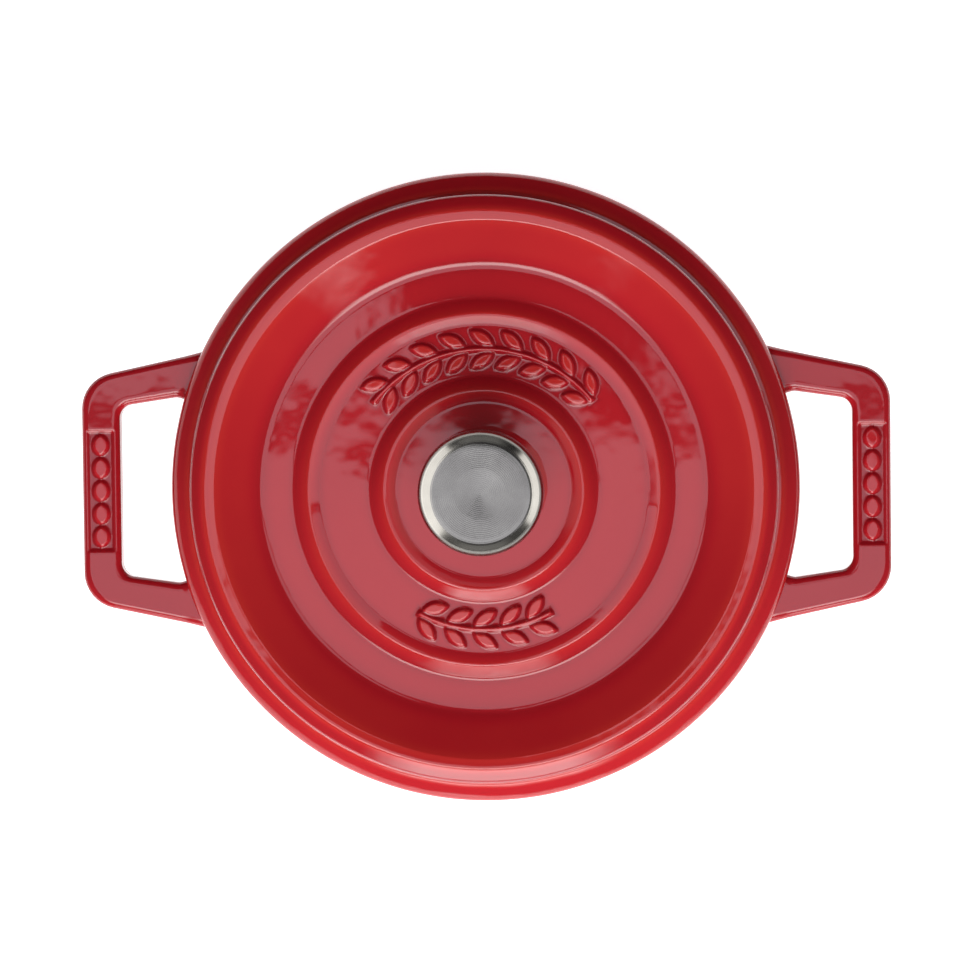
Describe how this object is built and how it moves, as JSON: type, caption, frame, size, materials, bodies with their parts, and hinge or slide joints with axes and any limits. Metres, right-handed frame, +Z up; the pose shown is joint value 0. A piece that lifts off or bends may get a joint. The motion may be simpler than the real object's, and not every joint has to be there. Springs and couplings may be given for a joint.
{
  "type": "dutch oven",
  "caption": "Round enamelled cast iron pot with two loop handles and a lift-off domed-rim lid that carries a turned metal knob.",
  "frame": {"origin": "centre of the flat foot ring that the pot rests on", "axes": "+Z up along the pot's axis of revolution; +X through the middle of one loop handle; +Y across, at right angles to the handles"},
  "size_m": [0.2646, 0.2048, 0.1376],
  "materials": {
    "red_enamel": "glossy cherry enamel outside, matte black enamel inside",
    "red_enamel_lid": "glossy cherry enamel above, matte black enamel below",
    "knob_metal": "satin nickel",
    "steel": "plain",
    "spring_steel": "plain"
  },
  "bodies": {
    "pot": {"pot": "red_enamel"},
    "lid": {"lid": "red_enamel_lid", "knob": "knob_metal", "knob_screw": "steel", "flat_washer": "steel", "spring_washer": "spring_steel"}
  },
  "joints": [
    {"name": "lid_lift", "type": "slide", "parent": "pot", "child": "lid", "axis": [0, 0, 1], "range_m": [0, 0.16]}
  ]
}
